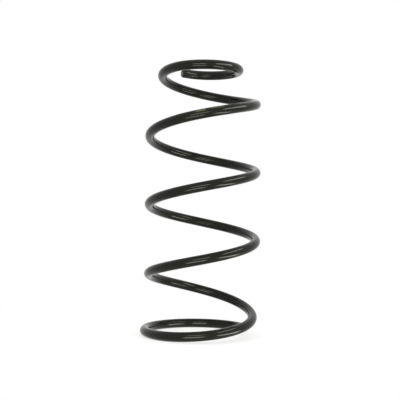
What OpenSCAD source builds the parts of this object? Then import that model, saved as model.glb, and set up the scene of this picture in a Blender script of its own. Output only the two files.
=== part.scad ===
// Coil spring of a car's front suspension: one length of round steel wire, wound as a
// right-handed coil. Its lower turn lies flat on its seat, its body turns stand clear of
// each other, and its upper end narrows to a small turn that is nearly level. Both wire ends
// curl in a little.
// Millimetres, with +Z up. The origin is the centre of the seat turn, on its seat.
// Places and lengths along the wire are in turns round the coil.

/* [Wire] */
// Diameter of the round wire with its coating
wire_d = 12.5; // [9:0.25:14]
// Bevel round each cut end of the wire
end_bevel = 0.6; // [0.2:0.1:1.5]

/* [Coil] */
// Outside diameter of the seat turn and of the body turns
coil_od = 156; // [140:0.5:175]
// Length of the wire from its lower end to its upper end, in turns
coil_turns = 5.285; // [4.7:0.005:6]
// Direction of the lower wire end from the axis, in degrees from +X
lower_end_angle = 24; // [0:1:90]
// Height that the body gains in each turn
body_pitch = 92; // [75:1:110]

/* [Seat turn] */
// Wire that lies flat on the seat, in turns
seat_turns = 0.54; // [0.4:0.01:0.7]
// Wire after it, along which the climb builds up, in turns
rise_turns = 0.47; // [0.35:0.01:0.8]
// Steepest climb, where the wire leaves the seat turn, as height in each turn
rise_pitch = 119; // [95:1:135]
// Wire after that, along which the climb eases to the body's, in turns
ease_turns = 0.65; // [0.3:0.05:1]

/* [Bow of the body] */
// Sideways offset of the body's axis just above the seat turn, towards +X
bow_low = 4.5; // [0:0.5:8]
// Sideways offset of the body's axis just below the small turn, towards +X
bow_high = 3; // [0:0.5:8]
// Wire before the offset begins, in turns
bow_start = 0.75; // [0.5:0.05:1]
// Wire along which the offset builds up, in turns
bow_turns = 0.6; // [0.4:0.05:1]
// Sideways offset of the small turn's axis, towards +X
small_offset = 1; // [0:0.5:3]

/* [Small upper turn] */
// Outside diameter of the small turn
small_od = 112; // [96:0.5:130]
// Wire wound at that diameter, in turns back from the upper end
small_turns = 0.715; // [0.5:0.005:0.9]
// Wire before it, along which the coil narrows, in turns
narrow_turns = 0.5; // [0.4:0.05:0.9]
// Nearly level wire, in turns back from the upper end
level_turns = 0.675; // [0.5:0.005:0.9]
// Wire before it, along which the climb dies away, in turns
fade_turns = 0.45; // [0.3:0.05:0.7]
// Climb that is left in the nearly level wire, as height in each turn
level_pitch = 7; // [0:0.5:12]

/* [Curled ends] */
// How far the lower wire end curls in from the seat turn
lower_curl = 3.5; // [0:0.5:6]
// Wire along which it does, in turns
lower_curl_turns = 0.28; // [0.2:0.01:0.4]
// How far the upper wire end curls in from the small turn
upper_curl = 6; // [0:0.5:8]
// Wire along which it does, in turns
upper_curl_turns = 0.35; // [0.25:0.01:0.45]

/* [Fineness] */
// Straight steps in each turn
turn_steps = 48; // [24:4:48]
// Sides of the wire's section
wire_sides = 20; // [12:4:20]

/* [Hidden] */
coating = "#191a18";
wire_r = wire_d / 2;
coil_r = coil_od / 2 - wire_r;
small_r = small_od / 2 - wire_r;
full_turn = 360;
// Places along the wire, in turns from its lower end
rise_full = seat_turns + rise_turns;
rise_eased = rise_full + ease_turns;
bow_full = bow_start + bow_turns;
small_from = coil_turns - small_turns;
narrow_from = small_from - narrow_turns;
level_from = coil_turns - level_turns;
fade_from = level_from - fade_turns;
// Turns that each end bevel takes up, and the short step that gives the wire's direction
lower_bevel = end_bevel / (2 * PI * coil_r);
upper_bevel = end_bevel / (2 * PI * small_r);
probe = 0.001;

// Goes smoothly from 0 at turn a to 1 at turn b
function blend(t, a, b) =
    let (u = min(max((t - a) / (b - a), 0), 1))
    u * u * (3 - 2 * u);

// Height reached at turn t by a climb that builds up evenly from 0 at turn a to 1 at turn b
function climb(t, a, b) =
    t <= a ? 0 :
    t >= b ? t - (a + b) / 2 :
    pow(t - a, 2) / (2 * (b - a));

// Height of the wire's centre above the seat: flat, steepest, body, then nearly level
function height(t) =
    wire_r
    + rise_pitch * climb(t, seat_turns, rise_full)
    - (rise_pitch - body_pitch) * climb(t, rise_full, rise_eased)
    - (body_pitch - level_pitch) * climb(t, fade_from, level_from);

// How far the coil has narrowed at turn t, from 0 in the body to 1 in the small turn
function narrowing(t) = blend(t, narrow_from, small_from);

// Curl of a wire end, from 0 where it begins to 1 at the cut, at a distance left to the cut in turns
function curl(left, turns) = pow(max(turns - left, 0) / turns, 2);

// Radius from the coil's axis to the wire's centre
function radius(t) =
    coil_r
    - (coil_r - small_r) * narrowing(t)
    - lower_curl * curl(t, lower_curl_turns)
    - upper_curl * curl(coil_turns - t, upper_curl_turns);

// Sideways offset of the coil's axis: none at the seat turn, then the bow, then the small turn's
function bow(t) =
    let (along = min(max((t - bow_full) / (narrow_from - bow_full), 0), 1))
    (bow_low + (bow_high - bow_low) * along) * blend(t, bow_start, bow_full) * (1 - narrowing(t))
    + small_offset * narrowing(t);

// Direction from the coil's axis to the wire
function outward(t) =
    let (angle = lower_end_angle + full_turn * t)
    [cos(angle), sin(angle), 0];

// Centre of the wire at turn t
function centre(t) = radius(t) * outward(t) + [bow(t), 0, height(t)];

function unit(v) = v / norm(v);

// One ring of the wire's skin at turn t, square to the wire, starting on its outer side
function ring(t, r) =
    let (
        along = unit(centre(t + probe) - centre(t - probe)),
        out = unit(cross(cross(along, outward(t)), along)),
        down = cross(along, out)
    )
    [for (k = [0 : wire_sides - 1])
        let (a = full_turn * k / wire_sides)
        centre(t) + r * (cos(a) * out + sin(a) * down)];

// Rings along the wire, each as its turn and its radius, with a smaller one at each cut end
steps = ceil(coil_turns * turn_steps);
full_rings = [for (i = [0 : steps])
    [lower_bevel + (coil_turns - lower_bevel - upper_bevel) * i / steps, wire_r]];
stations = concat(
    [[0, wire_r - end_bevel]],
    full_rings,
    [[coil_turns, wire_r - end_bevel]]
);
skin_points = [for (s = stations) each ring(s[0], s[1])];

// Number of point k of ring i
function at(i, k) = i * wire_sides + k % wire_sides;

last_ring = len(stations) - 1;
skin_faces = [for (i = [0 : last_ring - 1], k = [0 : wire_sides - 1]) each [
    [at(i, k), at(i + 1, k), at(i + 1, k + 1)],
    [at(i, k), at(i + 1, k + 1), at(i, k + 1)]
]];
lower_cut = [for (k = [0 : wire_sides - 1]) at(0, k)];
upper_cut = [for (k = [wire_sides - 1 : -1 : 0]) at(last_ring, k)];

// The whole spring: the wire's round section swept along the coil, cut square at both ends
module coil_spring() {
    color(coating)
        polyhedron(
            points = skin_points,
            faces = concat(skin_faces, [lower_cut, upper_cut]),
            convexity = 12
        );
}

coil_spring();
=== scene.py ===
"""A coil suspension spring of coated steel wire, standing on its flat lower turn in a pale studio.

The wire is swept along the same centre line as the part's solid, with more and finer rings, and gets its
gloss coating here. Lengths are metres, and places and lengths along the wire are turns, unless a comment says
otherwise. Angles whose names end in DEG or _deg are degrees.
"""

import math

import bpy
from mathutils import Euler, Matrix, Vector


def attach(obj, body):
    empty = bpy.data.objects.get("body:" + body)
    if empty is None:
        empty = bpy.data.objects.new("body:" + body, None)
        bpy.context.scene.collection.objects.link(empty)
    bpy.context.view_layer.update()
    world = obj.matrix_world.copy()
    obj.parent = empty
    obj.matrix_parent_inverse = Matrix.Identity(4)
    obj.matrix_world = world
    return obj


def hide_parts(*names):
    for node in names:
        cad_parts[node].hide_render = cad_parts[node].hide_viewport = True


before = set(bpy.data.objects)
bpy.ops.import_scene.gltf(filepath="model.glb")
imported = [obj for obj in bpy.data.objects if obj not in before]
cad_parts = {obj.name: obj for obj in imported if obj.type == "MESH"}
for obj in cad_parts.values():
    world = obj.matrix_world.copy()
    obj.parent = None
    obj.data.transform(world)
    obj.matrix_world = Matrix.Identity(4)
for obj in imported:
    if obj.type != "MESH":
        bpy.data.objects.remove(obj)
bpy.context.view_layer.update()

MM = 0.001

# Wire
WIRE_D = 12.5 * MM
END_ROUND = 0.6 * MM

# Coil, as the part's solid has it
COIL_OD = 156 * MM
COIL_TURNS = 5.285
LOWER_END_DEG = 24
BODY_PITCH = 92 * MM
SEAT_TURNS = 0.54
RISE_TURNS = 0.47
RISE_PITCH = 119 * MM
EASE_TURNS = 0.65
BOW_LOW = 4.5 * MM
BOW_HIGH = 3 * MM
BOW_START = 0.75
BOW_TURNS = 0.6
SMALL_OFFSET = 1 * MM
SMALL_OD = 112 * MM
SMALL_TURNS = 0.715
NARROW_TURNS = 0.5
LEVEL_TURNS = 0.675
FADE_TURNS = 0.45
LEVEL_PITCH = 7 * MM
LOWER_CURL = 3.5 * MM
LOWER_CURL_TURNS = 0.28
UPPER_CURL = 6 * MM
UPPER_CURL_TURNS = 0.35

# Fineness of the shown mesh
TURN_STEPS = 200
WIRE_SIDES = 56
ROUND_STEPS = 4
FACE_RINGS = 5

# Worked out from the sizes above
WIRE_R = WIRE_D / 2
COIL_R = (COIL_OD - WIRE_D) / 2
SMALL_R = (SMALL_OD - WIRE_D) / 2
RISE_FULL = SEAT_TURNS + RISE_TURNS
RISE_EASED = RISE_FULL + EASE_TURNS
BOW_FULL = BOW_START + BOW_TURNS
SMALL_FROM = COIL_TURNS - SMALL_TURNS
NARROW_FROM = SMALL_FROM - NARROW_TURNS
LEVEL_FROM = COIL_TURNS - LEVEL_TURNS
FADE_FROM = LEVEL_FROM - FADE_TURNS
PROBE = 0.001

# Coating
COATING_DARK = (0.0030, 0.0033, 0.0016)
COATING_LIGHT = (0.0045, 0.0048, 0.0026)
COATING_IOR = 1.30
COATING_SMOOTH = 0.13
COATING_DULL = 0.18
TONE_SIZE = 25 * MM
PEEL_SIZE = 2.4 * MM
PEEL_DEPTH = 0.0008 * MM
LINE_SIZE = 0.9 * MM
LINE_STRETCH = 60
LINE_SHARE = 0.3

# Cut faces: how deep they reach along the wire, and their torn steel
CUT_DEPTH = 0.2 * MM
CUT_DULLER = 0.3
TORN_STEEL = (0.20, 0.20, 0.19)
TORN_SIZE = 2 * MM
TORN_FROM = 3 * MM

# Dabs of paint: place along the wire in turns, half length, degrees above the outer side, half width, cover
PAINT = (0.065, 0.073, 0.031)
PAINT_DABS = (
    (3.677, 6 * MM, 43, 17, 0.9),
    (3.722, 8 * MM, 50, 14, 0.5),
)
DAB_RAGGED = 6 * MM
DAB_LUMP = 2.5 * MM
DAB_FADE = 1.5 * MM
DAB_FADE_OUT_DEG = 6
DAB_FADE_IN_DEG = 4

# Floor
FLOOR_HALF = 4.0
FLOOR_COLOUR = (0.95, 0.95, 0.95)
FLOOR_WHITE = 0.75
SHADOW_REACH = 0.4

# Light of the room on surfaces, where 1 is white
ROOM_COLOUR = (0.97, 1.0, 0.92)
ROOM_LEVEL = 0.37

# Upright light panels: name, level direction in degrees, distance, span across, span in height, radiance
PANELS = (
    ("side_high", 79, 0.380, (-0.365, 0.048), (0.327, 0.555), 5.9),
    ("side_low", 77, 0.398, (-0.355, 0.060), (-0.215, -0.015), 8.9),
    ("front_high", -1, 0.619, (-0.275, 0.135), (0.295, 0.488), 5.1),
    ("front_low", 5, 0.527, (-0.325, 0.070), (-0.172, 0.013), 8.4),
)
PANEL_COLOUR = (1.0, 1.0, 0.92)
PANEL_MIDDLE = 2.0
PANEL_END = 0.82
OVERHEAD_SIZE = 1.6
OVERHEAD_HEIGHT = 1.5
OVERHEAD_WATTS = 21.0

# Camera
LENS = 68.88
CAMERA_PLACE = (0.416 * MM, -1033.211 * MM, 157.863 * MM)
CAMERA_TILT_DEG = 1.309
CAMERA_ROLL_DEG = 0.784


def clamp(value):
    return min(max(value, 0.0), 1.0)


def blend(turn, start, end):
    """0 before start, 1 after end, with a soft step between."""
    share = clamp((turn - start) / (end - start))
    return share * share * (3 - 2 * share)


def climb(turn, start, end):
    """Turns travelled by a slope that grows evenly from 0 at start to 1 at end."""
    if turn <= start:
        return 0.0
    if turn >= end:
        return turn - (start + end) / 2
    return (turn - start) ** 2 / (2 * (end - start))


def height(turn):
    """Height of the centre line: flat seat, steep rise, even body, nearly level top."""
    rise = RISE_PITCH * climb(turn, SEAT_TURNS, RISE_FULL)
    ease = (RISE_PITCH - BODY_PITCH) * climb(turn, RISE_FULL, RISE_EASED)
    fade = (BODY_PITCH - LEVEL_PITCH) * climb(turn, FADE_FROM, LEVEL_FROM)
    return WIRE_R + rise - ease - fade


def curl(left, turns):
    """Curl of a wire end with so many turns left to its cut: from 0 where it begins to 1 at the cut."""
    return (max(turns - left, 0.0) / turns) ** 2


def bow(turn, narrowing):
    """Sideways offset of the coil's axis: none at the seat turn, then the bow, then the small turn's."""
    up = clamp((turn - BOW_FULL) / (NARROW_FROM - BOW_FULL))
    size = BOW_LOW + (BOW_HIGH - BOW_LOW) * up
    return size * blend(turn, BOW_START, BOW_FULL) * (1 - narrowing) + SMALL_OFFSET * narrowing


def outward(turn):
    """Level direction from the coil's axis to the wire."""
    angle = math.radians(LOWER_END_DEG + 360 * turn)
    return Vector((math.cos(angle), math.sin(angle), 0))


def centre(turn):
    """Point of the wire's centre line after so many turns."""
    narrowing = blend(turn, NARROW_FROM, SMALL_FROM)
    radius = COIL_R - (COIL_R - SMALL_R) * narrowing
    radius -= LOWER_CURL * curl(turn, LOWER_CURL_TURNS)
    radius -= UPPER_CURL * curl(COIL_TURNS - turn, UPPER_CURL_TURNS)
    return radius * outward(turn) + Vector((bow(turn, narrowing), 0, height(turn)))


def section(turn):
    """The wire's direction at a turn, and the two directions across it: outward and down."""
    along = (centre(turn + PROBE) - centre(turn - PROBE)).normalized()
    out = along.cross(outward(turn)).cross(along).normalized()
    return along, out, along.cross(out)


def length_to(turn):
    """Length of wire from its lower end to a turn."""
    steps = round(turn * TURN_STEPS)
    places = [centre(turn * step / steps) for step in range(steps + 1)]
    return sum((after - before).length for before, after in zip(places, places[1:]))


def end_profile():
    """Rings of a cut end, from the middle of its face to the full wire: depth behind the face, and radius."""
    face_r = WIRE_R - END_ROUND
    rings = [(0.0, face_r * step / FACE_RINGS) for step in range(1, FACE_RINGS + 1)]
    for step in range(1, ROUND_STEPS + 1):
        angle = math.pi / 2 * step / ROUND_STEPS
        rings.append((END_ROUND * (1 - math.cos(angle)), face_r + END_ROUND * math.sin(angle)))
    return rings


def stations():
    """Every ring of the wire: its turn, its shift along the wire there, and its radius."""
    ends = end_profile()
    lower = [(0.0, depth, radius) for depth, radius in ends]
    upper = [(COIL_TURNS, -depth, radius) for depth, radius in reversed(ends)]
    steps = round(COIL_TURNS * TURN_STEPS)
    body = [(COIL_TURNS * step / steps, 0.0, WIRE_R) for step in range(1, steps)]
    return lower + body + upper


def wire_skin(rings):
    """Points of every ring, each point's place as if the wire lay straight, and the length of wire."""
    points, places = [], []
    travelled, last = 0.0, centre(0)
    for turn, shift, radius in rings:
        along, out, down = section(turn)
        middle = centre(turn) + shift * along
        travelled += (centre(turn) - last).length
        last = centre(turn)
        for side in range(WIRE_SIDES):
            angle = 2 * math.pi * side / WIRE_SIDES
            across, below = radius * math.cos(angle), radius * math.sin(angle)
            points.append(middle + across * out + below * down)
            places.append((across, below, travelled + shift))
    return points, places, travelled


def side_faces(ring_count):
    """Four-sided faces between each ring and the next."""
    faces = []
    for ring in range(ring_count - 1):
        near, far = ring * WIRE_SIDES, (ring + 1) * WIRE_SIDES
        for side in range(WIRE_SIDES):
            after = (side + 1) % WIRE_SIDES
            faces.append((near + side, near + after, far + after, far + side))
    return faces


def fan_faces(hub, ring, turned):
    """Three-sided faces from a hub point to the sides of a ring, which close a cut end."""
    faces = []
    for side in range(WIRE_SIDES):
        rim = [ring * WIRE_SIDES + side, ring * WIRE_SIDES + (side + 1) % WIRE_SIDES]
        if turned:
            rim.reverse()
        faces.append((hub, *rim))
    return faces


def spring_wire():
    """The whole spring as one closed swept mesh.

    Its attribute wire_place holds each point's place on the straightened wire.
    """
    rings = stations()
    points, places, travelled = wire_skin(rings)
    faces = side_faces(len(rings))
    for ring, end_turn, end_place in ((0, 0.0, 0.0), (len(rings) - 1, COIL_TURNS, travelled)):
        faces += fan_faces(len(points), ring, turned=ring == 0)
        points.append(centre(end_turn))
        places.append((0.0, 0.0, end_place))
    mesh = bpy.data.meshes.new("spring_wire")
    mesh.from_pydata(points, [], faces)
    mesh.shade_smooth()
    attribute = mesh.attributes.new("wire_place", "FLOAT_VECTOR", "POINT")
    attribute.data.foreach_set("vector", [number for place in places for number in place])
    mesh.validate()
    piece = bpy.data.objects.new("spring_wire", mesh)
    bpy.context.scene.collection.objects.link(piece)
    return piece


class Nodes:
    """A small helper around a node tree: each call adds one node and links what it is given."""

    def __init__(self, owner):
        owner.use_nodes = True
        self.tree = owner.node_tree
        self.tree.nodes.clear()

    def add(self, kind, inputs=None, **settings):
        """One node, with a value or a link put into each named or numbered input."""
        made = self.tree.nodes.new("ShaderNode" + kind)
        for name, value in settings.items():
            setattr(made, name, value)
        for name, value in (inputs or {}).items():
            if isinstance(value, bpy.types.NodeSocket):
                self.tree.links.new(value, made.inputs[name])
            else:
                made.inputs[name].default_value = value
        return made

    def math(self, operation, first, second=0.0, third=0.0):
        """Result of one Math node."""
        return self.add("Math", {0: first, 1: second, 2: third}, operation=operation).outputs[0]

    def vector(self, operation, first, second=(0, 0, 0), output=0):
        """Result of one Vector Math node: output 0 is a vector, output 1 a number."""
        return self.add("VectorMath", {0: first, 1: second}, operation=operation).outputs[output]

    def ramp(self, value, low, high, start=0.0, end=1.0):
        """A value that goes smoothly from start, where the input is low, to end, where it is high."""
        inputs = {"Value": value, "From Min": low, "From Max": high, "To Min": start, "To Max": end}
        return self.add("MapRange", inputs, interpolation_type="SMOOTHSTEP").outputs[0]

    def noise(self, place, size, detail=2.0, stretch=(1, 1, 1)):
        """Noise whose lumps are about size across, drawn out by stretch."""
        scaled = self.vector("MULTIPLY", place, [1 / (size * longer) for longer in stretch])
        return self.add("TexNoise", {"Vector": scaled, "Scale": 1.0, "Detail": detail}).outputs["Fac"]

    def colours(self, share, first, second):
        """first where share is 0, second where it is 1."""
        start = first if isinstance(first, bpy.types.NodeSocket) else (*first, 1)
        inputs = {0: share, 6: start, 7: (*second, 1)}
        return self.add("Mix", inputs, data_type="RGBA").outputs[2]


def paint_dab(nodes, place, turn, half_length, above_deg, half_width_deg, cover):
    """Share of paint in one soft dab on the wire, found from the place on the straightened wire."""
    split = nodes.add("SeparateXYZ", {0: place}).outputs
    along = nodes.math("ABSOLUTE", nodes.math("SUBTRACT", split["Z"], length_to(turn)))
    rough = nodes.math("MULTIPLY", nodes.math("SUBTRACT", nodes.noise(place, DAB_LUMP), 0.5), DAB_RAGGED)
    reach = nodes.math("ADD", along, rough)
    inside = nodes.ramp(reach, half_length - DAB_FADE, half_length + DAB_FADE, cover, 0)
    angle = math.radians(above_deg)
    section_way = nodes.vector("MULTIPLY", place, (1 / WIRE_R, 1 / WIRE_R, 0))
    facing = nodes.vector("DOT_PRODUCT", section_way, (math.cos(angle), -math.sin(angle), 0), output=1)
    outer = math.cos(math.radians(half_width_deg + DAB_FADE_OUT_DEG))
    inner = math.cos(math.radians(half_width_deg - DAB_FADE_IN_DEG))
    return nodes.math("MULTIPLY", inside, nodes.ramp(facing, outer, inner))


def cut_face(nodes, place):
    """Share of sheared face: 1 on both cut ends of the wire, 0 on its side."""
    along = nodes.add("SeparateXYZ", {0: place}).outputs["Z"]
    lower = nodes.ramp(along, CUT_DEPTH / 2, CUT_DEPTH, 1, 0)
    length = length_to(COIL_TURNS)
    upper = nodes.ramp(along, length - CUT_DEPTH, length - CUT_DEPTH / 2)
    return nodes.math("MAXIMUM", lower, upper)


def torn_part(nodes, place):
    """Share of torn bare steel on a cut face: patches on its outer half."""
    across = nodes.add("SeparateXYZ", {0: place}).outputs["X"]
    outer_half = nodes.ramp(across, 0, TORN_FROM)
    patches = nodes.ramp(nodes.noise(place, TORN_SIZE), 0.35, 0.6)
    return nodes.math("MULTIPLY", outer_half, patches)


def fine_relief(nodes, solid, place):
    """Bump of the coating: a slight orange peel, and faint drawing lines of the wire below it."""
    peel = nodes.noise(solid, PEEL_SIZE)
    lines = nodes.noise(place, LINE_SIZE, stretch=(1, 1, LINE_STRETCH))
    relief = nodes.math("ADD", peel, nodes.math("MULTIPLY", lines, LINE_SHARE))
    return nodes.add("Bump", {"Height": relief, "Distance": PEEL_DEPTH, "Strength": 1.0}).outputs[0]


def black_coating():
    """Gloss black coating, slightly uneven, with worn dabs of olive paint and two sheared cut faces."""
    material = bpy.data.materials.new("black_coating")
    nodes = Nodes(material)
    place = nodes.add("Attribute", attribute_name="wire_place").outputs["Vector"]
    solid = nodes.add("TexCoord").outputs["Object"]
    tone = nodes.noise(solid, TONE_SIZE, detail=3)
    colour = nodes.colours(tone, COATING_DARK, COATING_LIGHT)
    for dab in PAINT_DABS:
        colour = nodes.colours(paint_dab(nodes, place, *dab), colour, PAINT)
    cut = cut_face(nodes, place)
    colour = nodes.colours(nodes.math("MULTIPLY", cut, torn_part(nodes, place)), colour, TORN_STEEL)
    roughness = nodes.ramp(tone, 0.3, 0.7, COATING_SMOOTH, COATING_DULL)
    shader = nodes.add("BsdfPrincipled", {
        "Base Color": colour,
        "Roughness": nodes.math("ADD", roughness, nodes.math("MULTIPLY", cut, CUT_DULLER)),
        "Normal": fine_relief(nodes, solid, place),
        "IOR": COATING_IOR,
    })
    nodes.add("OutputMaterial", {"Surface": shader.outputs[0]})
    return material


def floor():
    """Pale floor under the seat turn. It takes the shadow near the spring and is plain white further off.

    It stays out of reflections and lets the low panels through, as the photographed spring hangs clear of
    any floor.
    """
    mesh = bpy.data.meshes.new("floor")
    corners = [(x * FLOOR_HALF, y * FLOOR_HALF, 0) for x, y in ((-1, -1), (1, -1), (1, 1), (-1, 1))]
    mesh.from_pydata(corners, [], [(0, 1, 2, 3)])
    piece = bpy.data.objects.new("floor", mesh)
    bpy.context.scene.collection.objects.link(piece)
    material = bpy.data.materials.new("floor")
    nodes = Nodes(material)
    away = nodes.vector("LENGTH", nodes.add("TexCoord").outputs["Object"], output=1)
    white_share = nodes.ramp(away, SHADOW_REACH / 2, SHADOW_REACH, FLOOR_WHITE, 1.0)
    seen = nodes.add("LightPath").outputs["Is Camera Ray"]
    plain = nodes.add("BsdfDiffuse", {"Color": (*FLOOR_COLOUR, 1)})
    white = nodes.add("Emission", {"Color": (1, 1, 1, 1), "Strength": 1.0})
    share = nodes.math("MULTIPLY", seen, white_share)
    shader = nodes.add("MixShader", {0: share, 1: plain.outputs[0], 2: white.outputs[0]})
    nodes.add("OutputMaterial", {"Surface": shader.outputs[0]})
    mesh.materials.append(material)
    piece.visible_glossy = False
    piece.visible_shadow = False


def compass(azimuth_deg):
    """Level direction: 0 towards the camera's side, 90 to the right."""
    angle = math.radians(azimuth_deg)
    return (math.sin(angle), -math.cos(angle), 0)


def studio_world():
    """Plain white when seen, in reflections and through anything clear too, and dimmer as light."""
    world = bpy.data.worlds.new("studio")
    nodes = Nodes(world)
    light = nodes.add("Background", {"Color": (*ROOM_COLOUR, 1), "Strength": ROOM_LEVEL})
    white = nodes.add("Background", {"Color": (1, 1, 1, 1), "Strength": 1.0})
    ray = nodes.add("LightPath").outputs
    seen = nodes.math("MAXIMUM", ray["Is Camera Ray"], ray["Is Glossy Ray"])
    seen = nodes.math("MAXIMUM", seen, ray["Is Transmission Ray"])
    shader = nodes.add("MixShader", {0: seen, 1: light.outputs[0], 2: white.outputs[0]})
    nodes.add("OutputWorld", {"Surface": shader.outputs[0]})
    bpy.context.scene.world = world


def add_lamp(name, light):
    """A lamp in the scene that the camera doesn't see."""
    lamp = bpy.data.objects.new(name, light)
    lamp.visible_camera = False
    bpy.context.scene.collection.objects.link(lamp)
    return lamp


def soften(light):
    """Makes a panel brightest along its middle line, and fades it towards its edges."""
    nodes = Nodes(light)
    place = nodes.add("SeparateXYZ", {0: nodes.add("NewGeometry").outputs["Parametric"]}).outputs
    share = [nodes.math("ABSOLUTE", nodes.math("MULTIPLY_ADD", place[axis], 2.0, -1.0)) for axis in "XY"]
    ends = nodes.ramp(share[0], PANEL_END, 1, 1, 0)
    soft = nodes.math("MULTIPLY", ends, nodes.ramp(share[1], 0, 1, PANEL_MIDDLE, 0))
    nodes.add("OutputLight", {"Surface": nodes.add("Emission", {"Strength": soft}).outputs[0]})


def panel(name, azimuth_deg, away, across, span, radiance):
    """An upright light panel, square to a level direction and at a distance from the origin.

    across is its span from left to right, and span its lowest and highest height.
    """
    light = bpy.data.lights.new(name, "AREA")
    light.shape = "RECTANGLE"
    light.size = across[1] - across[0]
    light.size_y = span[1] - span[0]
    light.energy = radiance * math.pi * light.size * light.size_y
    light.color = PANEL_COLOUR
    soften(light)
    towards = Vector(compass(azimuth_deg))
    right = Vector(compass(azimuth_deg + 90))
    lamp = add_lamp(name, light)
    lamp.location = towards * away + right * sum(across) / 2 + Vector((0, 0, sum(span) / 2))
    lamp.rotation_euler = towards.to_track_quat("Z", "Y").to_euler()


def overhead_light():
    """Wide soft light from above for the floor, kept out of reflections so that it adds no streak."""
    light = bpy.data.lights.new("overhead", "AREA")
    light.size = OVERHEAD_SIZE
    light.energy = OVERHEAD_WATTS
    lamp = add_lamp("overhead", light)
    lamp.location = (0, 0, OVERHEAD_HEIGHT)
    lamp.visible_glossy = False


def studio_lights():
    """Two upright pairs of panels, each with a gap at the spring's height: one beside it, one before it."""
    for values in PANELS:
        panel(*values)
    overhead_light()


def camera():
    """The photograph's view, through a long lens: from just below the middle, slightly up and rolled."""
    data = bpy.data.cameras.new("camera")
    data.sensor_width = 36
    data.lens = LENS
    data.clip_start = 0.01
    view = bpy.data.objects.new("camera", data)
    tilt = Euler((math.radians(90 + CAMERA_TILT_DEG), 0, 0)).to_matrix()
    roll = Euler((0, 0, math.radians(CAMERA_ROLL_DEG))).to_matrix()
    view.matrix_world = (tilt @ roll).to_4x4()
    view.location = CAMERA_PLACE
    bpy.context.scene.collection.objects.link(view)
    bpy.context.scene.camera = view


camera()
wire = spring_wire()
wire.data.materials.append(black_coating())
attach(wire, "root")
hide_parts("coil_spring")
floor()
studio_world()
studio_lights()
bpy.context.scene.view_settings.view_transform = "Standard"
